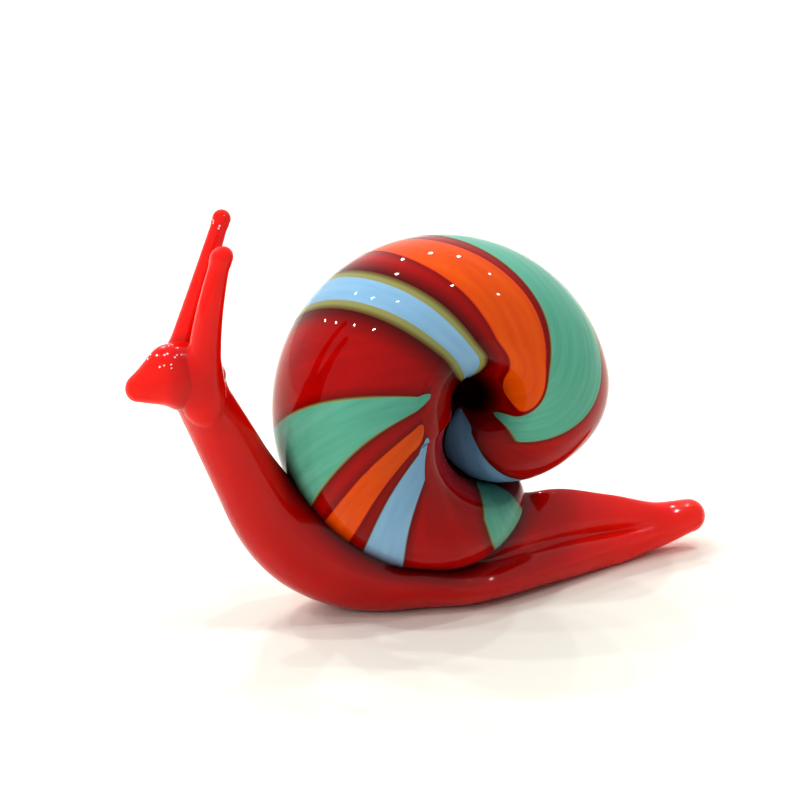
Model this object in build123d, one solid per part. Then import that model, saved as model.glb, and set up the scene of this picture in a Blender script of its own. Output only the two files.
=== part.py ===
from build123d import *
import os
from math import ceil, cos, exp, pi, radians, sin, sqrt

# Snail figurine in torch-worked glass: sole on Z = 0, head toward -X, tail toward +X,
# the open side of the wound shell toward -Y. Millimetres and degrees.

# Foot and tail, one red gather drawn out to a point and pressed flat underneath
sole_cut = 1.2             # glass pressed away to leave the flat sole
rim_height = 3.3           # height of the widest line of the foot
tail_knob_radius = 2.2
tail_knob_x = 35.2         # knob centre, from the shell's axis
tail_knob_z = 4.0
tail_thin_x = 30.0
tail_thin_half_width = 2.6
tail_thin_top = 6.7
tail_thin_bottom = 0.3
tail_mid_x = 23.5
tail_mid_half_width = 4.0
tail_mid_top = 8.9
tail_root_x = 14.5
tail_root_half_width = 6.6
tail_root_top = 11.0
foot_mid_x = 1.0
foot_mid_half_width = 9.4
foot_mid_top = 9.6
foot_front_x = -6.7        # where the neck begins to bend up
foot_front_half_width = 8.2
foot_front_top = 9.2
body_steps = 26            # sections along the body

# Neck, bent up from the front of the foot
neck_axis_z = 5.0          # height of the neck's axis where the bend starts
neck_bend_radius = 20.0
neck_bend_angle = 64.5
neck_length = 17.6         # straight part above the bend
neck_bend_half_width = 5.7
neck_bend_half_depth = 5.6
neck_root_half_width = 4.4
neck_root_half_depth = 4.3
neck_top_half_width = 3.5
neck_top_half_depth = 3.2

# Head, a drop of red glass set on the end of the neck
head_radius = 3.8
snout_radius = 1.6
snout_length = 6.7         # head centre to snout centre
snout_dip = 5.0            # snout axis below level
head_lift = 1.2            # head centre beyond the end of the neck
crown_lift = 1.8           # height of the brow above the drop
crown_reach = 3.5          # brow in front of the head's centre
crown_length = 2.6         # half length of the brow
head_steps = 18            # sections along the head

# Eye stalks, two thin rods with fire-rounded ends
left_root_radius = 1.9
left_mid_radius = 1.5
right_root_radius = 2.4
right_mid_radius = 1.75
stalk_neck_radius = 1.2
stalk_ball_radius = 1.38
stalk_mid_reach = 8.4      # from the root to where the taper eases
stalk_spread = 2.2         # stalk axis from the middle plane, at the root
stalk_tip_spread = 3.0     # the same at the tip
left_stalk_height = 18.1   # ball centre above the head's centre
left_stalk_back = 5.1      # ball centre behind the head's centre
left_root_back = -1.5      # root behind the head's centre
left_root_sink = 0.0       # root below the head's centre
right_stalk_height = 15.5
right_stalk_back = 3.1
right_root_back = 0.7
right_root_sink = 1.5

# Shell, a tapered striped rod wound once round itself
shell_radius = 21.4        # outline of the wound rod
shell_half_thick = 14.0
shell_blend = 2.2          # rounding where the growing turn meets the outline
shell_centre_z = 24.6
shell_lean = 12.0          # open side tipped up from level
shell_turn = 4.0           # open side turned toward the head
eye_right = 2.0            # winding axis from the outline's centre
eye_up = 1.6
eye_radius = 2.0           # open middle of the winding
tip_radius = 2.6           # outer radius where the thin end starts
tip_inner = 0.6
tip_angle = -158.0         # thin end, from the tail side, turning up over the top
end_angle = 304.0          # thick end, under the tail side of the outline
opening = 0.114            # growth of the winding per degree
winding_gap = 0.15         # crease between one turn and the next
crease_blend = 1.0         # rounding where the rod comes to lie on the turn inside it
eye_growth = 150.0         # angle from the thin end to the full open middle
front_growth = 190.0       # angle from the thin end to the full thickness
end_fade = 130.0           # angle over which the open side falls to the thick end
crest_share = 0.38         # crest of the rod's section, from the inside of the winding
tip_front = 5.0            # half thickness of the thin end, open side
tip_back = 4.0
end_front = 7.5            # open side of the thick end
tip_round = 28.0           # angle over which the thin end is rounded off
end_round = 46.0
weld_radius = 11.5         # where the turns have melted together round the middle
weld_half_length = 3.0
end_hug = 0.02             # tip of the thick end, from the inside of the winding
rod_steps = 42             # sections along the full part of the winding

# Stripes, coloured canes pressed into the shell
stripe_depth = 1.3
stripe_proud = 0.2
stripe_step = 12.0         # turn round the section between two rows of a stripe
blunt = 0.01               # share of a stripe's run cut off its point at each end
back_twist = 20.0          # further turn of each stripe across the closed side
back_tip = -125.0          # where the stripes run out on the closed side
short_back_tip = -20.0     # the same for a stripe on the thick end
# Each stripe: its two edges at the rim, at the shoulder and on the crest of the open side,
# as angles round the winding, then the place of its tip (round the section, round the winding)
stripes = {
    "sky_blue_stripe_1": ((128.5, 147.0), (118.0, 138.0), (103.5, 131.0), (150.0, 105.0)),
    "sky_blue_stripe_2": ((234.0, 250.0), (224.0, 240.0), (205.5, 223.0), (98.0, 200.0)),
    "sky_blue_stripe_3": ((-95.0, -42.0), (-127.0, -71.0), (-143.0, -100.0), (118.0, -120.0)),
    "mint_stripe_1": ((45.0, 95.0), (10.0, 71.0), (-55.0, 30.0), (142.0, -39.0)),
    "mint_stripe_2": ((183.0, 214.0), (172.0, 198.0), (165.5, 176.5), (100.0, 164.0)),
    "mint_stripe_3": ((283.0, 296.0), (276.0, 295.0), (268.0, 292.0), (158.0, 281.0)),
    "orange_stripe_1": ((103.0, 116.0), (77.0, 106.0), (34.0, 87.0), (142.0, 17.0)),
    "orange_stripe_2": ((218.0, 228.0), (207.0, 219.0), (187.5, 200.5), (96.0, 189.0)),
}
# Two stripes run on down the open middle: their edges there, and the turns round the section
# past the crest over which they come to these edges and after which they begin to close
deep_edges = {"mint_stripe_1": (-50.0, -28.0), "orange_stripe_1": (-23.0, 57.0)}
deep_turn = 36.0
deep_close = 22.0


def ease(x):
    x = min(max(x, 0.0), 1.0)
    return x * x * (3 - 2 * x)


def soft_min(a, b, k):
    h = min(max(0.5 + 0.5 * (b - a) / k, 0.0), 1.0)
    return b + (a - b) * h - k * h * (1 - h)


def outline(phi):
    # distance from the winding axis to the round outline
    along = -eye_right * cos(radians(phi)) - eye_up * sin(radians(phi))
    return along + sqrt(shell_radius**2 - eye_right**2 - eye_up**2 + along**2)


def outer(phi):
    return soft_min(outline(phi), tip_radius + (phi - tip_angle) * opening, shell_blend)


def inner(phi):
    own = tip_inner + (eye_radius - tip_inner) * ease((phi - tip_angle) / eye_growth)
    if phi - 360 < tip_angle:
        return own
    return -soft_min(-own, -outer(phi - 360) - winding_gap, crease_blend)


def section(phi):
    # outer, inner and crest radius, then the open-side and closed-side reach along the axis
    r_out, r_in = outer(phi), inner(phi)
    r_mid = r_in + crest_share * (r_out - r_in)
    grown = ease((phi - tip_angle) / front_growth)
    left = ease((end_angle - phi) / end_fade)
    front = tip_front + (shell_half_thick - tip_front) * grown
    front = end_front + (front - end_front) * left
    back = -tip_back - (shell_half_thick - tip_back) * grown
    k0 = min((phi - tip_angle) / tip_round, 1)
    k1 = min((end_angle - phi) / end_round, 1)
    q = sqrt(max(1 - (1 - k0)**2, 0)) * sqrt(max(1 - (1 - k1)**2, 0))
    mid = (front + back) / 2
    half = q * (front - back) / 2
    # the thin end closes on its crest, the thick end against the turn inside it
    r_tip = r_mid if k1 == 1 else r_in + end_hug * (r_out - r_in)
    r_out, r_in, r_mid = [r_tip + q * (r - r_tip) for r in (r_out, r_in, r_mid)]
    return r_out, r_in, r_mid, mid + half, mid - half


# Shell frame: x to the right seen from the open side, y up, z out of the open side
shell_place = Location((0, 0, shell_centre_z)) * Rotation(0, 0, -shell_turn)
shell_place = shell_place * Rotation(90 - shell_lean, 0, 0) * Location((eye_right, eye_up, 0))


def winding_plane(phi):
    radial = Vector(cos(radians(phi)), sin(radians(phi)), 0)
    return Plane((0, 0, 0), x_dir=radial, z_dir=radial.cross(Vector(0, 0, 1)))


def winding_section(phi):
    r_out, r_in, r_mid, front, back = section(phi)
    mid, half = (front + back) / 2, (front - back) / 2
    plane = winding_plane(phi)
    edges = []
    for quarter in range(4):
        wide = r_out - r_mid if quarter in (0, 3) else r_mid - r_in
        arc = EllipticalCenterArc((r_mid, mid), wide, half, start_angle=90 * quarter, arc_size=90)
        edges.append(plane * arc)
    return Wire([e.edge() for e in edges])


def winding_point(phi, t, out):
    # point on the rod's skin, moved out along the skin's normal
    r_out, r_in, r_mid, front, back = section(phi)
    wide = r_out - r_mid if cos(radians(t)) > 0 else r_mid - r_in
    half = (front - back) / 2
    nr, nz = cos(radians(t)) / wide, sin(radians(t)) / half
    size = sqrt(nr * nr + nz * nz)
    r = r_mid + wide * cos(radians(t)) + out * nr / size
    z = (front + back) / 2 + half * sin(radians(t)) + out * nz / size
    return Vector(r * cos(radians(phi)), r * sin(radians(phi)), z)


def pole(phi):
    # the point the rod closes on at either end, where its section has shrunk to nothing
    r_mid, front = section(phi)[2:4]
    return Vertex(r_mid * cos(radians(phi)), r_mid * sin(radians(phi)), front)


full_turn = end_angle - end_round - tip_angle - tip_round
stations = [tip_angle + tip_round * k for k in (0.1, 0.4, 0.7)]
stations += [tip_angle + tip_round + full_turn * i / rod_steps for i in range(rod_steps + 1)]
stations += [end_angle - end_round * k for k in (0.75, 0.5, 0.28, 0.1)]
rod_sections = [winding_section(phi) for phi in stations]
rod = Solid.make_loft([pole(tip_angle)] + rod_sections + [pole(end_angle)], ruled=True)
weld = Cylinder(weld_radius, 2 * weld_half_length)
winding = (rod + weld).solid()


def between(values, t):
    # smooth line through three values at 0, 45 and 90 degrees
    a, b, c = values
    x = t / 45
    return a + (b - a) * x + (c - 2 * b + a) * x * (x - 1) / 2


def stripe_edges(name, t):
    rim, shoulder, crest, (tip_t, tip_phi) = stripes[name]
    if t < 0:
        middle = (rim[0] + rim[1]) / 2 - back_twist * t / 90
        half = (rim[1] - rim[0]) / 2 * sqrt(1 - (t / back_tip)**2)
        return middle - half, middle + half
    if t <= 90:
        return [between(values, t) for values in zip(rim, shoulder, crest)]
    if name in deep_edges:
        k = ease((t - 90) / deep_turn)
        low, high = [a + (b - a) * k for a, b in zip(crest, deep_edges[name])]
        close = max((t - 90 - deep_close) / (tip_t - 90 - deep_close), 0)
        middle, half = (low + high) / 2, (high - low) / 2 * sqrt(1 - close * close)
        return middle - half, middle + half
    k = (t - 90) / (tip_t - 90)
    middle = (crest[0] + crest[1]) / 2 * (1 - k) + tip_phi * k
    half = (crest[1] - crest[0]) / 2 * sqrt(1 - k * k)
    return middle - half, middle + half


def stripe_solid(name):
    # rows of skin and bed arcs from the tip on the open side round to the closed side
    rim, tip_t = stripes[name][0], stripes[name][3][0]
    runs_round = rim[1] - back_twist * back_tip / 90 < end_angle - end_round / 2
    last = back_tip if runs_round else short_back_tip
    steps = ceil((tip_t - last) / stripe_step)
    faces = []
    before = None
    for i in range(steps + 1):
        t = last + (tip_t - last) * (blunt + (1 - 2 * blunt) * i / steps)
        low, high = stripe_edges(name, t)
        places = [low + (high - low) * k / 4 for k in range(5)]
        skin = Spline(*[winding_point(p, t, stripe_proud) for p in places])
        bed = Spline(*[winding_point(p, t, -stripe_depth) for p in places])
        row = (skin, bed, Line(skin @ 0, bed @ 0), Line(skin @ 1, bed @ 1))
        if i in (0, steps):
            faces.append(Face.make_surface_from_curves(skin, bed))
        if before:
            faces += [Face.make_surface_from_curves(a, b) for a, b in zip(before, row)]
        before = row
    return Solid(Shell(faces))


canes = {name: stripe_solid(name) for name in stripes}
shell_core = winding - list(canes.values())

# Body: one red gather, given by its sections along a spine that runs from the tail knob
# level along the foot, round the bend and up the neck. Each station: distance along the
# spine, height of the spine, half-width, reach above it and reach below it
foot_length = tail_knob_x - foot_front_x
bend_length = neck_bend_radius * radians(neck_bend_angle)
neck_mid_half_width = (neck_root_half_width + neck_top_half_width) / 2
neck_mid_half_depth = (neck_root_half_depth + neck_top_half_depth) / 2
spine = [(0.0, tail_knob_z, tail_knob_radius, tail_knob_radius, tail_knob_radius)]
for x, z, half_width, top, bottom in (
    (tail_thin_x, rim_height, tail_thin_half_width, tail_thin_top, tail_thin_bottom),
    (tail_mid_x, rim_height, tail_mid_half_width, tail_mid_top, -sole_cut),
    (tail_root_x, rim_height, tail_root_half_width, tail_root_top, -sole_cut),
    (foot_mid_x, rim_height, foot_mid_half_width, foot_mid_top, -sole_cut),
    (foot_front_x, neck_axis_z, foot_front_half_width, foot_front_top, -sole_cut),
):
    spine.append((tail_knob_x - x, z, half_width, top - z, z - bottom))
for s, half_width, half_depth in (
    (foot_length + bend_length / 2, neck_bend_half_width, neck_bend_half_depth),
    (foot_length + bend_length, neck_root_half_width, neck_root_half_depth),
    (foot_length + bend_length + neck_length / 2, neck_mid_half_width, neck_mid_half_depth),
    (foot_length + bend_length + neck_length, neck_top_half_width, neck_top_half_depth),
):
    spine.append((s, neck_axis_z, half_width, half_depth, half_depth))


def along_spine(column, s):
    # smooth curve through the stations, level at each high or low point
    xs = [row[0] for row in spine]
    ys = [row[column] for row in spine]
    rise = [(ys[i + 1] - ys[i]) / (xs[i + 1] - xs[i]) for i in range(len(xs) - 1)]
    slope = [rise[0]]
    for u, w in zip(rise, rise[1:]):
        slope.append(2 * u * w / (u + w) if u * w > 0 else 0)
    slope.append(rise[-1])
    i = min(sum(1 for x in xs[1:] if x <= s), len(rise) - 1)
    h = xs[i + 1] - xs[i]
    k = (s - xs[i]) / h
    lift = ys[i] + (ys[i + 1] - ys[i]) * ease(k)
    return lift + h * k * (1 - k) * (slope[i] * (1 - k) - slope[i + 1] * k)


def spine_plane(s):
    over = max(s - foot_length, 0)
    a = min(over / neck_bend_radius, radians(neck_bend_angle))
    straight = max(over - bend_length, 0)
    x = tail_knob_x - min(s, foot_length) - neck_bend_radius * sin(a) - straight * cos(a)
    z = along_spine(1, s) + neck_bend_radius * (1 - cos(a)) + straight * sin(a)
    return Plane((x, 0, z), x_dir=(0, -1, 0), z_dir=(-cos(a), 0, sin(a)))


def body_section(plane, half_width, up, down):
    edges = []
    for quarter in range(4):
        tall = up if quarter < 2 else down
        arc = EllipticalCenterArc((0, 0), half_width, tall, start_angle=90 * quarter, arc_size=90)
        edges.append((plane * arc).edge())
    return Wire(edges)


tail_plane = spine_plane(0)
body_sections = [Vertex(tail_knob_x + tail_knob_radius, 0, tail_knob_z)]
for rise in (70, 45, 20):
    ring = tail_knob_radius * cos(radians(rise))
    plane = tail_plane.offset(-tail_knob_radius * sin(radians(rise)))
    body_sections.append(body_section(plane, ring, ring, ring))
neck_end = foot_length + bend_length + neck_length
for i in range(body_steps + 1):
    s = neck_end * i / body_steps
    body_sections.append(body_section(spine_plane(s), *[along_spine(c, s) for c in (2, 3, 4)]))
body = Solid.make_loft(body_sections, ruled=True)
body = split(body, Plane.XY, keep=Keep.TOP)

# Head: a drop drawn out along the snout's axis, with a raised brow, on the end of the neck
head_centre = spine_plane(neck_end).offset(head_lift).origin
snout_way = Vector(-cos(radians(snout_dip)), 0, -sin(radians(snout_dip)))
taper = (head_radius - snout_radius) / snout_length
lean_out = sqrt(1 - taper * taper)
tip_end = snout_length + snout_radius
head_sections = [Vertex(*(head_centre - snout_way * head_radius))]
for i in range(1, head_steps):
    turn = pi * i / head_steps
    x = -cos(turn) * (head_radius if turn < pi / 2 else tip_end)
    if x < head_radius * taper:
        r = sqrt(head_radius**2 - x * x)
    elif x < snout_length + snout_radius * taper:
        r = head_radius * lean_out - (x - head_radius * taper) * taper / lean_out
    else:
        r = sqrt(snout_radius**2 - (x - snout_length)**2)
    brow = min(crown_lift * exp(-((x - crown_reach) / crown_length)**2), r)
    plane = Plane(head_centre + snout_way * x, x_dir=(0, -1, 0), z_dir=snout_way)
    head_sections.append(body_section(plane, r, r + brow, r))
head_sections.append(Vertex(*(head_centre + snout_way * tip_end)))
head = Solid.make_loft(head_sections, ruled=True)


def eye_stalk(root_place, tip_place, root_radius, mid_radius):
    root = head_centre + Vector(*root_place)
    tip = head_centre + Vector(*tip_place)
    reach = (tip - root).length
    throat = reach - stalk_ball_radius * sqrt(1 - (stalk_neck_radius / stalk_ball_radius)**2)
    with BuildSketch() as outline_face:
        with BuildLine():
            ball = ThreePointArc(
                (stalk_neck_radius, throat),
                (stalk_ball_radius, reach),
                (0, reach + stalk_ball_radius),
            )
            Line(ball @ 1, (0, -root_radius))
            ThreePointArc(
                (0, -root_radius),
                (root_radius * sqrt(0.5), -root_radius * sqrt(0.5)),
                (root_radius, 0),
            )
            Polyline((root_radius, 0), (mid_radius, stalk_mid_reach), (stalk_neck_radius, throat))
        make_face()
    rod_solid = revolve(outline_face.sketch, Axis.Y)
    plane = Plane(root, x_dir=(0, 1, 0), z_dir=tip - root)
    return plane * (Rotation(90, 0, 0) * rod_solid)


left_eye_stalk = eye_stalk(
    (left_root_back, stalk_spread, -left_root_sink),
    (left_stalk_back, stalk_tip_spread, left_stalk_height),
    left_root_radius,
    left_mid_radius,
)
right_eye_stalk = eye_stalk(
    (right_root_back, -stalk_spread, -right_root_sink),
    (right_stalk_back, -stalk_tip_spread, right_stalk_height),
    right_root_radius,
    right_mid_radius,
)

# Melted joints: each later piece is seated in the one it was pressed onto, face to face
shell_seat = shell_place * winding
body = body - shell_seat - head
left_eye_stalk = left_eye_stalk - head - body
right_eye_stalk = right_eye_stalk - head - body

pieces = {
    "body": body,
    "head": head,
    "left_eye_stalk": left_eye_stalk,
    "right_eye_stalk": right_eye_stalk,
    "shell_core": shell_place * shell_core,
}
for name, cane in canes.items():
    pieces[name] = shell_place * cane - body

os.makedirs("parts", exist_ok=True)
for name, piece in pieces.items():
    export_step(piece.solids().sort_by(SortBy.VOLUME)[-1], "parts/" + name + ".step")
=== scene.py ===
import bmesh
import bpy
from math import ceil, cos, exp, pi, radians, sin, sqrt
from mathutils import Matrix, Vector
from mathutils.bvhtree import BVHTree


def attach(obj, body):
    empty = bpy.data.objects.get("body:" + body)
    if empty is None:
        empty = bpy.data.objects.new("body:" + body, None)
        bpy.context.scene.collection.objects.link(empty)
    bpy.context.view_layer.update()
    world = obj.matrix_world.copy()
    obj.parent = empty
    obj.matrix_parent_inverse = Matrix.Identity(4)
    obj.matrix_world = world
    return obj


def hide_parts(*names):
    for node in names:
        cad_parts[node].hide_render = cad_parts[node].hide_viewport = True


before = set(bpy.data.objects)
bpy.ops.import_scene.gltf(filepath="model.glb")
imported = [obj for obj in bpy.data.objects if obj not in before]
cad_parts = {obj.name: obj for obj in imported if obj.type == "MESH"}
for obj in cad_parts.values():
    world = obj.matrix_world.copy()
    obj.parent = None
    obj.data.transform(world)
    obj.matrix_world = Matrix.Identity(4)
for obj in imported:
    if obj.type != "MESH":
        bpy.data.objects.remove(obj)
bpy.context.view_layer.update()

# Shell core. A thick rod of hot red glass, thin at its first end, wound once and a quarter round
# an open hollow and fire-polished. Each turn is pressed against the one before and melts to it
# along a crease; the hollow is closed by a weld, the glass that has run together halfway down.

# sizes in millimetres; angles round the winding (phi) and round the rod's section (t) in degrees
shell_radius = 21.4
shell_half_thick = 14.0
shell_blend = 2.2
shell_lean = radians(12.0)
shell_turn = radians(4.0)
shell_centre = Vector((0.0, 0.0, 24.6))
hollow_right = 2.0
hollow_up = 1.6
hollow_radius = 2.0
hollow_growth = 150.0
tip_radius = 2.6
tip_inner = 0.6
tip_front = 5.0
tip_back = 4.0
tip_angle = -158.0
tip_round = 28.0
end_angle = 304.0
end_round = 46.0
end_front = 7.5
end_fade = 130.0
end_hug = 0.02
winding_growth = 0.114
turn_overlap = 0.3
crease_blend = 1.0
front_growth = 190.0
crest_share = 0.38
thinnest = 0.01

shell_out = Vector((
    -sin(shell_turn) * cos(shell_lean),
    -cos(shell_turn) * cos(shell_lean),
    sin(shell_lean),
))
shell_right = Vector((cos(shell_turn), -sin(shell_turn), 0.0))
shell_up = shell_out.cross(shell_right)


def ease(x):
    x = min(max(x, 0.0), 1.0)
    return x * x * (3 - 2 * x)


def soft_min(a, b, k):
    h = min(max(0.5 + 0.5 * (b - a) / k, 0.0), 1.0)
    return b + (a - b) * h - k * h * (1 - h)


def shell_outer(phi):
    # radius of the rim from the hollow's axis: a growing spiral, held in by the round outline
    along = -hollow_right * cos(radians(phi)) - hollow_up * sin(radians(phi))
    outline = along + sqrt(shell_radius**2 - hollow_right**2 - hollow_up**2 + along**2)
    return soft_min(outline, tip_radius + (phi - tip_angle) * winding_growth, shell_blend)


def shell_inner(phi):
    # radius of the side toward the hollow, which lies on the turn before where there is one
    own = tip_inner + (hollow_radius - tip_inner) * ease((phi - tip_angle) / hollow_growth)
    if phi - 360 < tip_angle:
        return own
    return -soft_min(-own, -shell_outer(phi - 360) + turn_overlap, crease_blend)


def shell_section(phi):
    # outer, inner and crest radius of the rod, then the middle and the half of its width
    r_out, r_in = shell_outer(phi), shell_inner(phi)
    r_crest = r_in + crest_share * (r_out - r_in)
    grown = ease((phi - tip_angle) / front_growth)
    front = tip_front + (shell_half_thick - tip_front) * grown
    front = end_front + (front - end_front) * ease((end_angle - phi) / end_fade)
    back = -tip_back - (shell_half_thick - tip_back) * grown
    k0 = min((phi - tip_angle) / tip_round, 1)
    k1 = min((end_angle - phi) / end_round, 1)
    q = sqrt(max(1 - (1 - k0)**2, 0)) * sqrt(max(1 - (1 - k1)**2, 0))
    middle, half = (front + back) / 2, q * (front - back) / 2
    r_tip = r_crest if k1 == 1 else r_in + end_hug * (r_out - r_in)
    r_out, r_in, r_crest = [r_tip + q * (r - r_tip) for r in (r_out, r_in, r_crest)]
    return r_out, r_in, r_crest, middle, half


def round_hollow(r, a, h):
    # point at radius r and angle a round the hollow's axis, and h along it to the open side
    flat = (hollow_right + r * cos(a)) * shell_right + (hollow_up + r * sin(a)) * shell_up
    return shell_centre + flat + h * shell_out


def shell_skin(phi, t, out=0.0):
    # point of the rod's skin, t degrees round its section from the rim over the open side
    r_out, r_in, r_crest, middle, half = shell_section(phi)
    c, s = cos(radians(t)), sin(radians(t))
    wide = (r_crest - r_in) + (r_out + r_in - 2 * r_crest) * ease(0.5 + c)
    nr, nh = c / max(wide, thinnest), s / max(half, thinnest)
    size = sqrt(nr * nr + nh * nh)
    r = r_crest + wide * c + out * nr / size
    h = middle + half * s + out * nh / size
    return round_hollow(r, radians(phi), h)


swirl_lean = 16.0
swirl_curl = 22.0
swirl_first = -130.0
swirl_last = 150.0


def swirl_turn(t):
    # turn of the swirl, in degrees of winding, from the rim to a place round the section
    k = min(max(t, swirl_first), swirl_last) / 90
    return -swirl_lean * k - swirl_curl * k * abs(k)


hollow_edge = 132.0
hollow_fade = 34.0
first_turn_end = -25.0
first_turn_fade = 75.0
first_turn_dark = 0.5
slope_edge = 45.0
slope_fade = 70.0
slope_start = 110.0
slope_growth = 40.0
slope_dark = 0.3


def painted_hollow_shade(phi, t):
    # share of painted shade, from 0 to 1: deep in the hollow, on the covered first turn and on the slope
    in_hollow = ease((t - hollow_edge) / hollow_fade)
    on_first_turn = first_turn_dark * ease((first_turn_end - phi) / first_turn_fade)
    on_slope = slope_dark * ease((t - slope_edge) / slope_fade) * ease((phi - slope_start) / slope_growth)
    return max(in_hollow, on_first_turn, on_slope)


def tube_faces(rings, around, first):
    # quads over rings of points, then a fan onto each of the two end points that follow them
    faces = []
    for i in range(rings - 1):
        for j in range(around):
            a, b = first + i * around + j, first + i * around + (j + 1) % around
            faces.append((a, b, b + around, a + around))
    start, end = first + rings * around, first + rings * around + 1
    last = first + (rings - 1) * around
    for j in range(around):
        faces.append((start, first + (j + 1) % around, first + j))
        faces.append((end, last + j, last + (j + 1) % around))
    return faces


def glass_piece(name, points, faces):
    # closed smooth mesh from points in millimetres
    mesh = bpy.data.meshes.new(name)
    mesh.from_pydata([p * 0.001 for p in points], [], faces)
    shape = bmesh.new()
    shape.from_mesh(mesh)
    bmesh.ops.recalc_face_normals(shape, faces=shape.faces)
    shape.to_mesh(mesh)
    shape.free()
    mesh.shade_smooth()
    piece = bpy.data.objects.new(name, mesh)
    bpy.context.scene.collection.objects.link(piece)
    return piece


def vertex_values(piece, name, values):
    layer = piece.data.attributes.new(name, "FLOAT", "POINT")
    layer.data.foreach_set("value", values)


def vertex_map(piece, name, places):
    layer = piece.data.uv_layers.new(name=name)
    for loop in piece.data.loops:
        layer.data[loop.index].uv = places[loop.vertex_index]


core_around = 144
core_step = 1.5
core_steps = 258
tip_steps = 16
end_steps = 40
core_turns = [tip_angle + tip_round * (1 - cos(pi * k / (2 * tip_steps))) for k in range(1, tip_steps)]
core_turns += [tip_angle + tip_round + k * core_step for k in range(1, core_steps)]
core_turns += [end_angle - end_round * (1 - sin(pi * k / (2 * end_steps))) for k in range(end_steps)]
core_places = [(phi, 360 * j / core_around - 180) for phi in core_turns for j in range(core_around)]
core_points = [shell_skin(phi, t) for phi, t in core_places]
core_map = [((phi - swirl_turn(t)) / 360, t / 360) for phi, t in core_places]
# painted shade of the hollow, the covered first turn and the slope
core_hollow_shade = [painted_hollow_shade(phi, t) for phi, t in core_places]
for phi in (tip_angle, end_angle):
    core_points.append(shell_skin(phi, 0.0))
    core_map.append((phi / 360, 0.0))
    core_hollow_shade.append(0.0)
core_faces = tube_faces(len(core_turns), core_around, 0)

weld_radius = 10.6
weld_half_length = 2.7
weld_around = 72
weld_dish = 0.7
# shares of the weld's half length and radius
weld_profile = ((-0.8, 0.55), (-1.0, 0.9), (-0.7, 1.0), (0.7, 1.0), (1.0, 0.9), (0.8, 0.55))
weld_first = len(core_points)
for h, r in weld_profile:
    for j in range(weld_around):
        a = -2 * pi * j / weld_around
        core_points.append(round_hollow(r * weld_radius, a, h * weld_half_length))
for h in (-weld_dish, weld_dish):
    core_points.append(round_hollow(0.0, 0.0, h * weld_half_length))
core_map += [(0.0, 0.0)] * (len(core_points) - weld_first)
# the weld lies deep in the middle and is painted in full shade
core_hollow_shade += [1.0] * (len(core_points) - weld_first)
core_faces += tube_faces(len(weld_profile), weld_around, weld_first)
shell_core = glass_piece("shell_core_glass", core_points, core_faces)
vertex_map(shell_core, "swirl", core_map)
vertex_values(shell_core, "hollow_shade", core_hollow_shade)

glass_ior = 1.52
shell_roughness = 0.03
shell_gloss = 0.1
shell_wave_scale = 160.0
shell_wave_height = 0.00006


def finish(name, roughness, gloss):
    # one glossy surface, its colour still to be joined on
    material = bpy.data.materials.new(name)
    material.use_nodes = True
    shader = material.node_tree.nodes["Principled BSDF"]
    shader.inputs["Roughness"].default_value = roughness
    shader.inputs["IOR"].default_value = glass_ior
    shader.inputs["Specular IOR Level"].default_value = gloss
    return material, material.node_tree, shader


def add(tree, kind, **settings):
    node = tree.nodes.new(kind)
    for key, value in settings.items():
        if hasattr(node, key):
            setattr(node, key, value)
        else:
            node.inputs[key].default_value = value
    return node


def ramp(tree, factor, stops):
    node = tree.nodes.new("ShaderNodeValToRGB")
    while len(node.color_ramp.elements) < len(stops):
        node.color_ramp.elements.new(0.5)
    for element, (place, colour) in zip(node.color_ramp.elements, stops):
        element.position = place
        element.color = (*colour, 1.0)
    tree.links.new(factor, node.inputs["Fac"])
    return node


def mix(tree, blend, factor, a, b):
    node = tree.nodes.new("ShaderNodeMix")
    node.data_type = "RGBA"
    node.blend_type = blend
    for socket, value in ((node.inputs[0], factor), (node.inputs[6], a), (node.inputs[7], b)):
        if isinstance(value, bpy.types.NodeSocket):
            tree.links.new(value, socket)
        elif isinstance(value, tuple):
            socket.default_value = (*value, 1.0)
        else:
            socket.default_value = value
    return node.outputs[2]


def hand_worked(tree, shader, scale, height):
    # the slow waviness that the torch leaves in a hand-worked skin
    place = add(tree, "ShaderNodeTexCoord")
    wave = add(tree, "ShaderNodeTexNoise", Scale=scale, Detail=1.5)
    tree.links.new(place.outputs["Object"], wave.inputs["Vector"])
    bump = add(tree, "ShaderNodeBump", Strength=0.6, Distance=height)
    tree.links.new(wave.outputs["Fac"], bump.inputs["Height"])
    tree.links.new(bump.outputs["Normal"], shader.inputs["Normal"])


def swirl_streaks(tree, layer, across, along):
    # fine lines drawn out along the swirl, from a map laid along it
    place = add(tree, "ShaderNodeUVMap", uv_map=layer)
    stretch = add(tree, "ShaderNodeMapping", Scale=(across, along, 1.0))
    tree.links.new(place.outputs["UV"], stretch.inputs["Vector"])
    streak = add(tree, "ShaderNodeTexNoise", Scale=1.0, Detail=4.0, Roughness=0.6)
    tree.links.new(stretch.outputs["Vector"], streak.inputs["Vector"])
    return streak.outputs["Fac"]


# painted shade of the creases, by how close a place lies to the next piece
painted_crease_shade = (
    (0.0, (1, 1, 1)),
    (0.5, (0.6, 0.5, 0.5)),
    (0.8, (0.3, 0.16, 0.16)),
    (1.0, (0.05, 0.02, 0.02)),
)
# painted shade of the hollow: the colours it multiplies by and the gloss it leaves
hollow_shade_colours = ((0.0, (1, 1, 1)), (0.5, (0.40, 0.46, 0.54)), (1.0, (0.03, 0.03, 0.03)))
hollow_shade_gloss = ((0.25, (shell_gloss, shell_gloss, shell_gloss)), (0.8, (0, 0, 0)))


def crease_shade(tree, colour):
    # painted shade in the crease between two pieces, where little light comes back out
    crease = add(tree, "ShaderNodeAttribute", attribute_name="crease")
    dark = ramp(tree, crease.outputs["Fac"], painted_crease_shade)
    return mix(tree, "MULTIPLY", 1.0, colour, dark.outputs["Color"])


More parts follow.
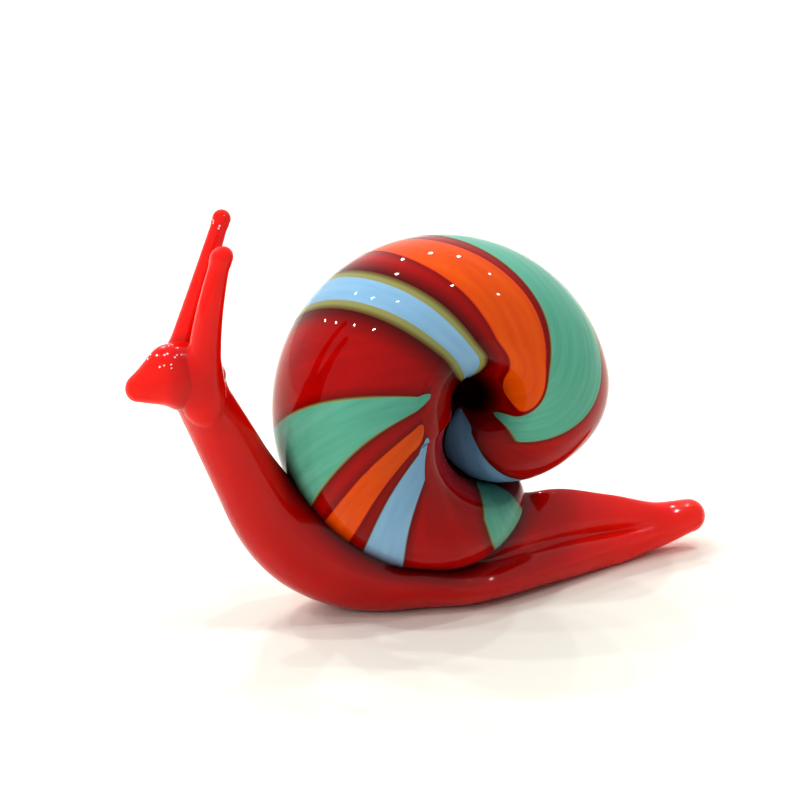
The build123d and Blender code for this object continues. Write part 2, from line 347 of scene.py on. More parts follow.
def deep_shade(tree, shader, colour):
    # painted shade in the hollow too: its colour is darkened and its gloss taken away, as though little
    # light came back out of it
    hollow_shade = add(tree, "ShaderNodeAttribute", attribute_name="hollow_shade")
    gloss = ramp(tree, hollow_shade.outputs["Fac"], hollow_shade_gloss)
    tree.links.new(gloss.outputs["Color"], shader.inputs["Specular IOR Level"])
    dark = ramp(tree, hollow_shade.outputs["Fac"], hollow_shade_colours)
    return crease_shade(tree, mix(tree, "MULTIPLY", 1.0, colour, dark.outputs["Color"]))


shell_reds = (
    (0.25, (0.29, 0.0006, 0.0005)),
    (0.5, (0.38, 0.0008, 0.0006)),
    (0.8, (0.46, 0.0016, 0.0008)),
)
# the red is burnt dark beside a cane, by shares of the burnt reach
burnt_reach = 4.0
burnt_darks = (
    (0.0, (0.15, 0.40, 0.3)),
    (0.15, (0.30, 0.7, 0.5)),
    (0.35, (0.55, 1, 1)),
    (0.75, (1, 1, 1)),
)
shell_red, tree, shader = finish("shell_red_glass", shell_roughness, shell_gloss)
streak = swirl_streaks(tree, "swirl", 34.0, 3.0)
colour = ramp(tree, streak, shell_reds)
beside = add(tree, "ShaderNodeAttribute", attribute_name="beside")
share = add(tree, "ShaderNodeMath", operation="MULTIPLY")
tree.links.new(beside.outputs["Fac"], share.inputs[0])
share.inputs[1].default_value = 1 / burnt_reach
burnt_edge = ramp(tree, share.outputs[0], burnt_darks)
colour = mix(tree, "MULTIPLY", 1.0, colour.outputs["Color"], burnt_edge.outputs["Color"])
tree.links.new(deep_shade(tree, shader, colour), shader.inputs["Base Color"])
hand_worked(tree, shader, shell_wave_scale, shell_wave_height)
shell_core.data.materials.append(shell_red)
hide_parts("shell_core")
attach(shell_core, "root")

# Stripes. Coloured canes laid across the hot rod before it was wound, marvered flush and drawn
# round into a swirl. Where a cane met the red the two colours reacted, which left an olive line
# along the blue and the mint and a soft dark border along the orange.

# each cane's two edges at the rim, the shoulder and the crest, as angles round the winding, then
# its tip, as the place round the section and the angle round the winding
stripes = {
    "sky_blue_stripe_1": ((128.5, 147.0), (118.0, 138.0), (103.5, 133.0), (172.0, 105.0)),
    "sky_blue_stripe_2": ((234.0, 250.0), (224.0, 240.0), (205.5, 223.0), (98.0, 200.0)),
    "sky_blue_stripe_3": ((-95.0, -42.0), (-127.0, -71.0), (-143.0, -100.0), (118.0, -120.0)),
    "mint_stripe_1": ((45.0, 95.0), (10.0, 71.0), (-55.0, 30.0), (142.0, -39.0)),
    "mint_stripe_2": ((183.0, 214.0), (172.0, 198.0), (165.5, 176.5), (100.0, 164.0)),
    "mint_stripe_3": ((283.0, 296.0), (276.0, 295.0), (268.0, 292.0), (158.0, 281.0)),
    "orange_stripe_1": ((103.0, 116.0), (77.0, 106.0), (34.0, 87.0), (142.0, 17.0)),
    "orange_stripe_2": ((218.0, 228.0), (207.0, 219.0), (187.5, 200.5), (96.0, 189.0)),
}
# three of them run on down the hollow, between these edges
deep_edges = {
    "sky_blue_stripe_1": (88.0, 136.0),
    "mint_stripe_1": (-50.0, -28.0),
    "orange_stripe_1": (-23.0, 57.0),
}
deep_turn = 36.0
deep_close = 22.0
shoulder_at = 45
crest_at = 90
back_twist = 20.0
back_tip = -125.0
short_back_tip = -20.0


def between(values, t):
    # edge between the rim and the crest, on a curve through its three places
    rim, shoulder, crest = values
    x = t / shoulder_at
    return rim + (shoulder - rim) * x + (crest - 2 * shoulder + rim) * x * (x - 1) / 2


def run_on(rim, shoulder, crest, deep, t):
    # edge past the crest: sets off as it came if that is the way to its place deeper down
    k = min((t - crest_at) / deep_turn, 1.0)
    slope = ((shoulder - rim) + 1.5 * (crest - 2 * shoulder + rim)) / shoulder_at * deep_turn
    slope = slope if slope * (deep - crest) > 0 else 0.0
    return crest + (deep - crest) * ease(k) + slope * k * (1 - k)**2


def stripe_edges(name, t):
    rim, shoulder, crest, (tip_t, tip_phi) = stripes[name]
    if t < 0:
        middle = (rim[0] + rim[1]) / 2 - back_twist * t / 90
        half = (rim[1] - rim[0]) / 2 * sqrt(1 - (t / back_tip)**2)
        return middle - half, middle + half
    if t <= crest_at:
        return [between(values, t) for values in zip(rim, shoulder, crest)]
    if name in deep_edges:
        low, high = [run_on(*edge, t) for edge in zip(rim, shoulder, crest, deep_edges[name])]
        close = max((t - crest_at - deep_close) / (tip_t - crest_at - deep_close), 0)
        middle, half = (low + high) / 2, (high - low) / 2 * sqrt(1 - close * close)
        return middle - half, middle + half
    k = (t - crest_at) / (tip_t - crest_at)
    middle = (crest[0] + crest[1]) / 2 * (1 - k) + tip_phi * k
    half = (crest[1] - crest[0]) / 2 * sqrt(1 - k * k)
    return middle - half, middle + half


no_stripe_near = 9.0
faint_line_start = 1.0
faint_line_rate = 1.5


def beside_stripe(phi, t):
    # way from a place on the red to the nearest cane, in millimetres; all but the first sky blue
    # one left a fainter line, which starts some way out and ends sooner
    nearest = no_stripe_near
    r_out, r_in, r_crest, middle, half = shell_section(phi)
    r = r_crest + (r_out - r_crest if abs(t) < 90 else r_crest - r_in) * cos(radians(t))
    for name, stripe in stripes.items():
        if back_tip < t < stripe[3][0]:
            low, high = stripe_edges(name, t)
            way = max(low - phi, phi - high, 0.0) * radians(r)
            if name != "sky_blue_stripe_1":
                way = faint_line_start + faint_line_rate * way
            nearest = min(nearest, way)
    return nearest


core_beside = [beside_stripe(phi, t) for phi, t in core_places]
core_beside += [no_stripe_near] * (len(core_points) - len(core_beside))
vertex_values(shell_core, "beside", core_beside)

stripe_proud = 0.02
stripe_depth = 1.2
stripe_across = 36
stripe_row_step = 1.6
stripe_end_trim = 0.0005
full_width = 6.0
map_scale = 50
wall_corner = radians(40)


def stripe_piece(name):
    # skin and bed laid over the rod, walled all round; edge is the way in from the nearer edge
    rim = stripes[name][0]
    tip_t = stripes[name][3][0]
    runs_round = rim[1] - back_twist * back_tip / 90 < end_angle - end_round / 2
    last = back_tip if runs_round else short_back_tip
    rows = ceil((tip_t - last) / stripe_row_step)
    wide = stripe_across + 1
    skin, bed, edge, hollow_shade, places = [], [], [], [], []
    run = 0.0
    for i in range(rows + 1):
        k = stripe_end_trim + (1 - 2 * stripe_end_trim) * (1 - cos(pi * i / rows)) / 2
        t = last + (tip_t - last) * k
        low, high = stripe_edges(name, t)
        turns = [low + (high - low) * j / stripe_across for j in range(wide)]
        row = [shell_skin(phi, t, stripe_proud) for phi in turns]
        bed += [shell_skin(phi, t, -stripe_depth) for phi in turns]
        reach = [0.0]
        for p, q in zip(row, row[1:]):
            reach.append(reach[-1] + (q - p).length)
        if skin:
            run += (row[stripe_across // 2] - skin[-wide + stripe_across // 2]).length
        skin += row
        edge += [min(x, reach[-1] - x) * max(full_width / reach[-1], 1.0) for x in reach]
        # painted shade of the hollow, the covered first turn and the slope, as on the red core
        hollow_shade += [painted_hollow_shade(phi, t) for phi in turns]
        places += [((x - reach[-1] / 2) / map_scale, run / map_scale) for x in reach]
    size = len(skin)
    faces = []
    for i in range(rows):
        for j in range(stripe_across):
            a = i * wide + j
            faces.append((a, a + wide, a + wide + 1, a + 1))
            faces.append((size + a, size + a + 1, size + a + wide + 1, size + a + wide))
    border = list(range(wide))
    border += [i * wide + stripe_across for i in range(1, rows + 1)]
    border += [rows * wide + j for j in range(stripe_across - 1, -1, -1)]
    border += [i * wide for i in range(rows - 1, 0, -1)]
    for a, b in zip(border, border[1:] + border[:1]):
        faces.append((a, b, size + b, size + a))
    piece = glass_piece(name + "_cane", skin + bed, faces)
    piece.data.set_sharp_from_angle(angle=wall_corner)
    vertex_map(piece, "cane", places + places)
    vertex_values(piece, "edge", edge + edge)
    vertex_values(piece, "hollow_shade", hollow_shade + hollow_shade)
    return piece


border_per_mm = 0.4
border_fade = 0.06


def cane_glass(name, border, cane_colours, streak_scale, border_noise):
    # border: colours by millimetres in from the edge; cane_colours: streaks of the cane itself
    material, tree, shader = finish(name, shell_roughness, shell_gloss)
    streak = swirl_streaks(tree, "cane", *streak_scale)
    inside = ramp(tree, streak, cane_colours)
    edge = add(tree, "ShaderNodeAttribute", attribute_name="edge")
    ragged = swirl_streaks(tree, "cane", 18.0, 5.0)
    shift = add(tree, "ShaderNodeMath", operation="MULTIPLY_ADD")
    tree.links.new(ragged, shift.inputs[0])
    shift.inputs[1].default_value = border_noise
    shift.inputs[2].default_value = -border_noise / 2
    moved = add(tree, "ShaderNodeMath", operation="ADD")
    tree.links.new(edge.outputs["Fac"], moved.inputs[0])
    tree.links.new(shift.outputs[0], moved.inputs[1])
    share = add(tree, "ShaderNodeMath", operation="MULTIPLY")
    tree.links.new(moved.outputs[0], share.inputs[0])
    share.inputs[1].default_value = border_per_mm
    line = ramp(tree, share.outputs[0], [(mm * border_per_mm, c) for mm, c in border])
    line_end = border[-1][0] * border_per_mm
    cover = ramp(tree, share.outputs[0], ((line_end, (0, 0, 0)), (line_end + border_fade, (1, 1, 1))))
    colour = mix(tree, "MIX", cover.outputs["Color"], line.outputs["Color"], inside.outputs["Color"])
    tree.links.new(deep_shade(tree, shader, colour), shader.inputs["Base Color"])
    hand_worked(tree, shader, shell_wave_scale, shell_wave_height)
    return material


olive = (0.26, 0.26, 0.08)
dark_olive = (0.13, 0.10, 0.025)
burnt = (0.12, 0.02, 0.006)
wide_olive_line = ((0.0, burnt), (0.3, dark_olive), (0.8, olive), (1.3, olive))
thin_dark_line = ((0.0, burnt), (0.12, dark_olive))
thin_olive_line = ((0.0, burnt), (0.12, dark_olive), (0.3, olive))
soft_red_border = ((0.0, (0.34, 0.003, 0.002)), (0.12, (0.50, 0.02, 0.002)), (0.28, (0.76, 0.06, 0.002)))
sky_blues = ((0.25, (0.18, 0.37, 0.57)), (0.5, (0.22, 0.43, 0.64)), (0.8, (0.28, 0.50, 0.70)))
mints = ((0.25, (0.075, 0.34, 0.23)), (0.5, (0.10, 0.40, 0.28)), (0.8, (0.14, 0.46, 0.34)))
oranges = ((0.2, (0.62, 0.045, 0.0003)), (0.5, (0.72, 0.07, 0.0004)), (0.85, (0.82, 0.11, 0.0006)))
wide_edged_blue = cane_glass("sky_blue_glass_wide_edge", wide_olive_line, sky_blues, (30.0, 3.0), 0.15)
blue = cane_glass("sky_blue_glass", thin_dark_line, sky_blues, (30.0, 3.0), 0.08)
mint = cane_glass("mint_glass", thin_olive_line, mints, (36.0, 2.5), 0.15)
orange = cane_glass("orange_glass", soft_red_border, oranges, (26.0, 3.0), 0.3)
canes = []
for name in stripes:
    piece = stripe_piece(name)
    canes.append(piece)
    if name == "sky_blue_stripe_1":
        piece.data.materials.append(wide_edged_blue)
    elif name.startswith("sky_blue"):
        piece.data.materials.append(blue)
    else:
        piece.data.materials.append(mint if name.startswith("mint") else orange)
    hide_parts(name)
    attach(piece, "root")

# Body. One gather of red glass: the tail pulled to a knob, the foot pressed flat on a plate, with
# sloping flanks and a groove along each side, the neck bent up while soft. The shell was set down
# into the hot foot.
sole_cut = 1.2
sole_rounding = 0.8
rim_height = 3.3
tail_knob_radius = 2.2
tail_knob_x = 35.2
tail_knob_z = 4.0
foot_front_x = -6.7
neck_axis_z = 5.0
neck_bend_radius = 20.0
neck_bend_angle = radians(64.5)
neck_length = 17.6
neck_cap = 1.0
foot_length = tail_knob_x - foot_front_x
bend_length = neck_bend_radius * neck_bend_angle
neck_end = foot_length + bend_length + neck_length
# way along the spine, spine height, half width, reach above and reach below
spine = [
    (0.0, tail_knob_z, tail_knob_radius, tail_knob_radius, tail_knob_radius),
    (tail_knob_x - 30.0, rim_height, 2.6, 6.7 - rim_height, rim_height - 0.3),
    (tail_knob_x - 23.5, rim_height, 4.0, 8.9 - rim_height, rim_height + sole_cut),
    (tail_knob_x - 14.5, rim_height, 6.6, 11.0 - rim_height, rim_height + sole_cut),
    (tail_knob_x - 1.0, rim_height, 9.4, 9.6 - rim_height, rim_height + sole_cut),
    (foot_length, neck_axis_z, 8.2, 9.2 - neck_axis_z, neck_axis_z + sole_cut),
    (foot_length + bend_length / 2, neck_axis_z, 5.7, 5.6, 5.6),
    (foot_length + bend_length, neck_axis_z, 4.4, 4.3, 4.3),
    (foot_length + bend_length + neck_length / 2, neck_axis_z, 3.95, 3.75, 3.75),
    (neck_end, neck_axis_z, 3.5, 3.2, 3.2),
]


def along_spine(column, s):
    # a column of the table at a way s along the spine, on a smooth curve that never overshoots
    xs = [row[0] for row in spine]
    ys = [row[column] for row in spine]
    rise = [(ys[i + 1] - ys[i]) / (xs[i + 1] - xs[i]) for i in range(len(xs) - 1)]
    slope = [rise[0]]
    for u, w in zip(rise, rise[1:]):
        slope.append(2 * u * w / (u + w) if u * w > 0 else 0)
    slope.append(rise[-1])
    i = min(sum(1 for x in xs[1:] if x <= s), len(rise) - 1)
    h = xs[i + 1] - xs[i]
    k = (s - xs[i]) / h
    lift = ys[i] + (ys[i + 1] - ys[i]) * ease(k)
    return lift + h * k * (1 - k) * (slope[i] * (1 - k) - slope[i + 1] * k)


def spine_place(s):
    # point of the spine and the direction that is up across it
    over = max(s - foot_length, 0)
    a = min(over / neck_bend_radius, neck_bend_angle)
    straight = max(over - bend_length, 0)
    x = tail_knob_x - min(s, foot_length) - neck_bend_radius * sin(a) - straight * cos(a)
    z = along_spine(1, s) + neck_bend_radius * (1 - cos(a)) + straight * sin(a)
    return Vector((x, 0, z)), Vector((sin(a), 0, cos(a)))


def rest_on_sole(p):
    # the underside pressed flat on the plate, with a rounded turn up to the side
    h = min(max(0.5 - 0.5 * p.z / sole_rounding, 0.0), 1.0)
    p.z = p.z * (1 - h) + sole_rounding * h * (1 - h)
    return p


flank_slope = 0.65
flank_start = 2
flank_start_run = 10
flank_end = foot_length + 12
flank_end_run = 16
groove_depth = 1.45
groove_place = radians(63)
groove_drop = radians(2)
groove_width = radians(12)
groove_front_x = -14
groove_back_x = 32
groove_fade = 10
body_around = 160
body_rows = 240
knob_rings = 8
body_points = []
for i in range(knob_rings):
    a = pi / 2 * (1 - (i + 1) / (knob_rings + 1))
    x = tail_knob_x + tail_knob_radius * sin(a)
    ring = tail_knob_radius * cos(a)
    for j in range(body_around):
        b = 2 * pi * j / body_around
        body_points.append(Vector((x, ring * cos(b), tail_knob_z + ring * sin(b))))
for i in range(body_rows + 1):
    s = neck_end * i / body_rows
    place, up = spine_place(s)
    half_width, above, below = [along_spine(c, s) for c in (2, 3, 4)]
    sloped = ease((s - flank_start) / flank_start_run) * ease((flank_end - s) / flank_end_run)
    power = 2 - flank_slope * sloped
    groove_at = groove_place + groove_drop * ease(place.x / groove_fade)
    groove = groove_depth * ease((place.x - groove_front_x) / groove_fade)
    groove *= ease((groove_back_x - place.x) / groove_fade)
    for j in range(body_around):
        b = 2 * pi * j / body_around
        c, d = cos(b), sin(b)
        tall = above if d > 0 else below
        swell = 1.0
        if d > 0:
            swell = (abs(c)**power + abs(d)**power)**(-1 / power)
            swell -= groove / half_width * exp(-((abs(pi / 2 - b) - groove_at) / groove_width)**2)
        body_points.append(place + Vector((0, half_width * c * swell, 0)) + up * tall * d * swell)
body_points.append(Vector((tail_knob_x + tail_knob_radius, 0, tail_knob_z)))
neck_top, up = spine_place(neck_end)
neck_way = Vector((-up.z, 0, up.x))
body_points.append(neck_top + neck_way * neck_cap)
body_points = [rest_on_sole(p) for p in body_points]
body = glass_piece("body_glass", body_points, tube_faces(knob_rings + body_rows + 1, body_around, 0))

# the red is clouded, deep where it is thick and lighter where it is thin, partly its own colour and
# partly a painted glow of light through the glass; white specks are painted glints
thick_reds = (
    (0.3, (0.41, 0.0005, 0.0003)),
    (0.5, (0.49, 0.0008, 0.0004)),
    (0.75, (0.56, 0.0015, 0.0006)),
)
thin_and_glow_reds = (
    (0.3, (0.80, 0.003, 0.001)),
    (0.5, (0.90, 0.006, 0.002)),
    (0.75, (0.96, 0.012, 0.003)),
)
glint_white = (0.95, 0.86, 0.84)
body_red, tree, shader = finish("body_red_glass", 0.015, 0.16)
place = add(tree, "ShaderNodeTexCoord")
cloud = add(tree, "ShaderNodeTexNoise", Scale=90.0, Detail=3.0)
tree.links.new(place.outputs["Object"], cloud.inputs["Vector"])
thick = ramp(tree, cloud.outputs["Fac"], thick_reds)
thin = ramp(tree, cloud.outputs["Fac"], thin_and_glow_reds)
thin_and_glow = add(tree, "ShaderNodeAttribute", attribute_name="thin")
colour = mix(tree, "MIX", thin_and_glow.outputs["Fac"], thick.outputs["Color"], thin.outputs["Color"])
# painted glints: small white specks, where the share laid on the piece allows
glint_specks = add(tree, "ShaderNodeTexVoronoi", Scale=2100.0)
tree.links.new(place.outputs["Object"], glint_specks.inputs["Vector"])
glint_dots = ramp(tree, glint_specks.outputs["Distance"], ((0.22, (1, 1, 1)), (0.30, (0, 0, 0))))
glint_share = add(tree, "ShaderNodeAttribute", attribute_name="glint_specks")
few = add(tree, "ShaderNodeMath", operation="LESS_THAN")
tree.links.new(glint_specks.outputs["Color"], few.inputs[0])
tree.links.new(glint_share.outputs["Fac"], few.inputs[1])
painted_glint = mix(tree, "MULTIPLY", 1.0, glint_dots.outputs["Color"], few.outputs[0])
colour = mix(tree, "MIX", painted_glint, colour, glint_white)
tree.links.new(crease_shade(tree, colour), shader.inputs["Base Color"])
shader.inputs["Subsurface Weight"].default_value = 0.3
shader.inputs["Subsurface Radius"].default_value = (1.0, 0.06, 0.02)
shader.inputs["Subsurface Scale"].default_value = 0.0025
hand_worked(tree, shader, 120.0, 0.00005)

# places on the finished mesh are in metres
tail_thin_x = 0.012
tail_thin_run = 0.016
neck_thin = 0.4
neck_thin_z = 0.010
neck_thin_run = 0.02


def body_thinness(p):
    # share of the lighter red, partly painted glow: the tail is drawn thin, and the neck thins upward
    at_neck = neck_thin * ease((p.z - neck_thin_z) / neck_thin_run)
    return max(ease((p.x - tail_thin_x) / tail_thin_run), at_neck)


body.data.materials.append(body_red)
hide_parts("body")
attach(body, "root")

# Head. A drop of the same red glass melted onto the end of the neck and drawn out to a snout,
# with a raised brow in front of the stalks. Painted glints, white specks, are strewn over the brow.
head_radius = 3.8
snout_radius = 1.6
snout_length = 6.68
snout_dip = radians(5.0)
head_lift = 1.2
brow_lift = 1.8
brow_reach = 3.5
brow_length = 2.6
brow_round = 1.4
head_centre = neck_top + neck_way * head_lift
snout_way = Vector((-cos(snout_dip), 0, -sin(snout_dip)))
snout_up = Vector((-sin(snout_dip), 0, cos(snout_dip)))
taper = (head_radius - snout_radius) / snout_length
head_around = 96
head_rows = 90
head_points = []
for i in range(1, head_rows):
    k = i / head_rows
    x = -head_radius * cos(pi * k) if k < 0.5 else (snout_length + snout_radius) * sin(pi * (k - 0.5))
    if x < head_radius * taper:
        r = sqrt(max(head_radius**2 - x * x, 0.0))
    elif x < snout_length + snout_radius * taper:
        r = head_radius * sqrt(1 - taper**2) - (x - head_radius * taper) * taper / sqrt(1 - taper**2)
    else:
        r = sqrt(max(snout_radius**2 - (x - snout_length)**2, 0.0))
    for j in range(head_around):
        b = 2 * pi * j / head_around
        lift = brow_lift * exp(-((x - brow_reach) / brow_length)**2) * max(sin(b), 0.0)**brow_round
        across = Vector((0, -r * cos(b), 0))
        head_points.append(head_centre + snout_way * x + across + snout_up * (r * sin(b) + lift))
head_points.append(head_centre - snout_way * head_radius)
head_points.append(head_centre + snout_way * (snout_length + snout_radius))
head = glass_piece("head_glass", head_points, tube_faces(head_rows - 1, head_around, 0))

head_thin = 0.75
snout_thin_x = -0.033
snout_thin_run = 0.006
brow_middle = (head_centre + Vector((-3.8, -0.8, 3.95))) * 0.001
brow_glints = 0.52
brow_glints_reach = 2.2
brow_glints_fade = 0.0013


def head_thinness(p):
    # share of the lighter red, partly painted glow; thinnest at the snout
    return head_thin + (1 - head_thin) * ease((snout_thin_x - p.x) / snout_thin_run)


def head_glints(p):
    # share of the painted glints that show, most at the middle of the brow
    return brow_glints * ease(brow_glints_reach - (p - brow_middle).length / brow_glints_fade)


head.data.materials.append(body_red)
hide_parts("head")
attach(head, "root")

# Eye stalks. Two rods of red glass pulled thin, touched to the head while hot and rounded at
# their ends in the flame. The near one was laid along the neck and spreads into it; the far one
# has painted glints, white specks, at its end.
stalk_spread = 2.2
stalk_tip_spread = 3.0
stalk_mid_reach = 8.4
taper_blend = 3.0
taper_round = 0.1
buried_taper = 0.06
swell_lead = 3.0
swell_run = 3.4
swell_blend = 0.3
root_cap = 0.3
ball_start = -12
ball_sweep = 98
ball_rows = 14
rod_rows = 90
stalk_around = 64


def eye_stalk(
    name, root_place, tip_place, root_radius, mid_radius, neck_radius, ball_radius, bow, buried, inward
):
    # buried: length of the rod that was laid down into the neck, drawn inward at its end
    root = head_centre + Vector(root_place)
    tip = head_centre + Vector(tip_place)
    way = (tip - root).normalized()
    reach = (tip - root).length
    throat = reach - ball_radius * sqrt(1 - (neck_radius / ball_radius)**2)
    across = way.cross(Vector((0, 1, 0))).normalized()
    other = way.cross(across)
    steps = [(-buried + (throat + buried) * i / rod_rows, None) for i in range(rod_rows + 1)]
    for i in range(ball_rows + 1):
        a = radians(ball_start + ball_sweep * i / ball_rows)
        steps.append((reach + ball_radius * sin(a), ball_radius * cos(a)))
    slope_a = (mid_radius - root_radius) / stalk_mid_reach
    slope_b = (neck_radius - mid_radius) / (throat - stalk_mid_reach)
    points = []
    for s, r in steps:
        if r is None:
            x = (s - stalk_mid_reach) / (2 * taper_blend)
            soft = taper_blend * sqrt(x * x + taper_round)
            r = mid_radius + (slope_a + slope_b) / 2 * (s - stalk_mid_reach) + (slope_b - slope_a) * soft
            r = min(r, root_radius) - buried_taper * max(-s, 0.0)
            ball = ball_radius * ease((s - throat + swell_lead) / swell_run)
            r = -soft_min(-r, -ball, swell_blend)
        lean = Vector((-bow * 4 * s / reach * (1 - s / reach), 0, 0))
        if s < 0:
            lean = Vector(inward) * (s / buried)**2
        for j in range(stalk_around):
            b = 2 * pi * j / stalk_around
            points.append(root + way * s + lean + (across * cos(b) + other * sin(b)) * r)
    points.append(root + Vector(inward) - way * (buried + root_cap))
    points.append(tip + way * ball_radius)
    return glass_piece(name, points, tube_faces(len(steps), stalk_around, 0))


left_stalk = eye_stalk(
    "left_eye_stalk_glass", (-1.5, stalk_spread, 0.0), (5.35, stalk_tip_spread, 18.3),
    1.7, 1.35, 1.0, 1.12, 0.0, 1.0, (0, 0, 0))
right_stalk = eye_stalk(
    "right_eye_stalk_glass", (0.7, -stalk_spread, -1.5), (3.1, -stalk_tip_spread, 15.5),
    2.4, 1.75, 1.2, 1.38, 0.6, 6.0, (3.2, 2.2, 0))

left_thin = 0.9
right_thin = 0.6
right_thin_z = 0.034
right_thin_run = 0.012
left_end = (head_centre + Vector((4.6, stalk_tip_spread - 0.6, 18.5))) * 0.001
left_end_glints = 0.5
left_end_glints_reach = 2
left_end_glints_fade = 0.0010


def left_thinness(p):
    return left_thin


def right_thinness(p):
    # share of the lighter red, partly painted glow; thinner toward its end
    return right_thin + (1 - right_thin) * ease((p.z - right_thin_z) / right_thin_run)


# share of the painted glints at the far stalk's end
def left_glints(p):
    return left_end_glints * ease(left_end_glints_reach - (p - left_end).length / left_end_glints_fade)


left_stalk.data.materials.append(body_red)
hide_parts("left_eye_stalk")
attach(left_stalk, "root")
right_stalk.data.materials.append(body_red)
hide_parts("right_eye_stalk")
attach(right_stalk, "root")

# Joints. Nothing is glued: each piece was touched to the next while soft, and the skins ran
# together in a hollow curve. The colours that hang on the melted shape are laid on here too:
# where the red is thin (partly a painted glow), the painted glints and the painted crease shade.
joint_reach = 0.0016
collar_reach = 0.0026
sole_clear = 0.0025
sole_fade = 0.002


def surface_of(piece):
    mesh = piece.data
    return BVHTree.FromPolygons([v.co for v in mesh.vertices], [p.vertices for p in mesh.polygons])


def melt(piece, others, reach):
    # draws the skin out toward each piece it was melted to, and leaves the sole flat
    moves = []
    for v in piece.data.vertices:
        push = 0.0
        for other in others:
            place, normal, index, gap = other.find_nearest(v.co)
            if gap < reach / 2 and (v.co - place).dot(normal) < 0:
                gap = 0.0
            push = max(push, reach / 4 * max(1 - gap / reach, 0.0)**2)
        moves.append(v.co + v.normal * push * ease((v.co.z - sole_clear) / sole_fade))
    for v, co in zip(piece.data.vertices, moves):
        v.co = co
    piece.data.update()


shell_side, head_side = surface_of(shell_core), surface_of(head)
left_side, right_side = surface_of(left_stalk), surface_of(right_stalk)
melt(body, [head_side, right_side], joint_reach)
melt(body, [shell_side], collar_reach)
body_side = surface_of(body)
melt(head, [body_side, left_side, right_side], joint_reach)
melt(left_stalk, [head_side], joint_reach)
melt(right_stalk, [head_side, body_side], joint_reach)

for piece, thinness_at in (
    (body, body_thinness),
    (head, head_thinness),
    (left_stalk, left_thinness),
    (right_stalk, right_thinness),
):
    vertex_values(piece, "thin", [thinness_at(v.co) for v in piece.data.vertices])
vertex_values(head, "glint_specks", [head_glints(v.co) for v in head.data.vertices])
vertex_values(left_stalk, "glint_specks", [left_glints(v.co) for v in left_stalk.data.vertices])


def crease_shade_values(piece, other, reach, most=1.0):
    # painted shade of the crease beside another piece, from 0 a reach away to most where they meet
    values = []
    for v in piece.data.vertices:
        place, normal, index, gap = other.find_nearest(v.co)
        values.append(most * max(1 - gap / reach, 0.0) if (v.co - place).dot(normal) > 0 else most)
    vertex_values(piece, "crease", values)


crease_shade_values(body, shell_side, 0.0028)
crease_shade_values(shell_core, body_side, 0.0022)
for cane in canes:
    crease_shade_values(cane, body_side, 0.0030)
crease_shade_values(head, right_side, 0.0026, 0.55)
crease_shade_values(left_stalk, head_side, 0.0016, 0.5)
crease_shade_values(right_stalk, head_side, 0.0014, 0.3)

# Table. A wide board, painted a warm white and matt, that the snail stands on. It runs out of the
# picture on all sides and keeps the shadow.
table_half = 4
table_mesh = bpy.data.meshes.new("table")
table_corners = [(x * table_half, y * table_half, 0) for x, y in ((-1, -1), (1, -1), (1, 1), (-1, 1))]
table_mesh.from_pydata(table_corners, [], [(0, 1, 2, 3)])
table = bpy.data.objects.new("table", table_mesh)
bpy.context.scene.collection.objects.link(table)
table_white, tree, shader = finish("table_white", 0.6, 0.2)
shader.inputs["Base Color"].default_value = (0.92, 0.91, 0.82, 1.0)
table_mesh.materials.append(table_white)

# Tent. White cloth all round, as the camera sees it and the glass mirrors it. Its soft light comes
# mostly from behind, because the tent is open toward the camera.
tent_white = (1.0, 1.0, 1.0)
tent_back = (0.58, 0.58, 0.56)
tent_front = (0.14, 0.14, 0.14)
tent_opening = (-0.36, -0.93, 0.0)
dim_from = -0.5
dim_to = 0.8
world = bpy.data.worlds.new("white_tent")
bpy.context.scene.world = world
world.use_nodes = True
tree = world.node_tree
sky = tree.nodes["Background"]
way = add(tree, "ShaderNodeTexCoord")
front = add(tree, "ShaderNodeVectorMath", operation="DOT_PRODUCT")
front.inputs[1].default_value = tent_opening
tree.links.new(way.outputs["Generated"], front.inputs[0])
dim = add(tree, "ShaderNodeMapRange", interpolation_type="SMOOTHSTEP")
tree.links.new(front.outputs["Value"], dim.inputs["Value"])
dim.inputs["From Min"].default_value = dim_from
dim.inputs["From Max"].default_value = dim_to
soft_light = mix(tree, "MIX", dim.outputs["Result"], tent_back, tent_front)
rays = add(tree, "ShaderNodeLightPath")
mirrored = add(tree, "ShaderNodeMath", operation="MAXIMUM")
tree.links.new(rays.outputs["Is Glossy Ray"], mirrored.inputs[0])
tree.links.new(rays.outputs["Is Transmission Ray"], mirrored.inputs[1])
seen = add(tree, "ShaderNodeMath", operation="MAXIMUM")
tree.links.new(mirrored.outputs[0], seen.inputs[0])
tree.links.new(rays.outputs["Is Camera Ray"], seen.inputs[1])
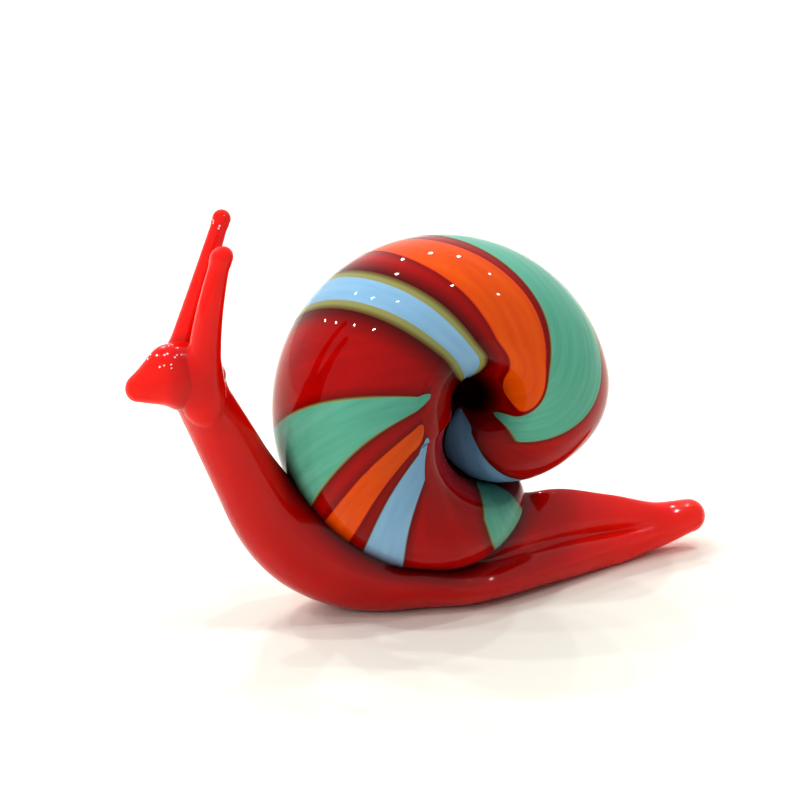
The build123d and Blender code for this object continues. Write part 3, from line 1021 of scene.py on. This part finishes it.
tree.links.new(mix(tree, "MIX", seen.outputs[0], soft_light, tent_white), sky.inputs["Color"])
sky.inputs["Strength"].default_value = 1.0

# Lamps. A broad soft lamp on the head's side, which the glass doesn't mirror, and fourteen small
# lamps in the ceiling, which show as the bright dots on the shell.
fill_place = Vector((-0.95, -0.30, 0.55))
fill_aim = Vector((0, 0, 0.02))
fill_lamp = bpy.data.lights.new("fill_lamp", "AREA")
fill_lamp.shape = "DISK"
fill_lamp.size = 0.6
fill_lamp.energy = 3.4
fill_holder = bpy.data.objects.new("fill_lamp", fill_lamp)
fill_holder.location = fill_place
fill_holder.rotation_euler = (fill_aim - fill_place).to_track_quat("-Z", "Y").to_euler()
fill_holder.visible_glossy = False
bpy.context.scene.collection.objects.link(fill_holder)

ceiling_height = 0.9
ceiling_lamp_radius = 0.0145
ceiling_lamp_power = 4.6
# places in millimetres
ceiling_lamps = (
    (324, 891), (463, 665), (558, 182), (544, -367), (105, 947), (-102, 519), (159, -102),
    (-472, 815), (-421, 346), (-292, -31), (-1053, 1364), (-939, 753), (-794, 211), (-666, -213),
)
for x, y in ceiling_lamps:
    lamp = bpy.data.lights.new("ceiling_lamp", "POINT")
    lamp.shadow_soft_size = ceiling_lamp_radius
    lamp.energy = ceiling_lamp_power
    holder = bpy.data.objects.new("ceiling_lamp", lamp)
    holder.location = (x / 1000, y / 1000, ceiling_height)
    bpy.context.scene.collection.objects.link(holder)

# Camera. A long lens on the head's side of the table, a little above the snail and turned down
# to it, with no blur in front or behind.
camera_aim = Vector((-0.001468, 0.009869, 0.022172))
camera = bpy.data.objects.new("camera", bpy.data.cameras.new("camera"))
camera.data.lens = 148.8
camera.data.sensor_width = 36.0
camera.data.sensor_fit = "HORIZONTAL"
camera.data.clip_start = 0.01
camera.location = (-0.15467, -0.35106, 0.17269)
camera.rotation_euler = (camera_aim - camera.location).to_track_quat("-Z", "Y").to_euler()
bpy.context.scene.collection.objects.link(camera)
bpy.context.scene.camera = camera
bpy.context.scene.view_settings.view_transform = "Standard"
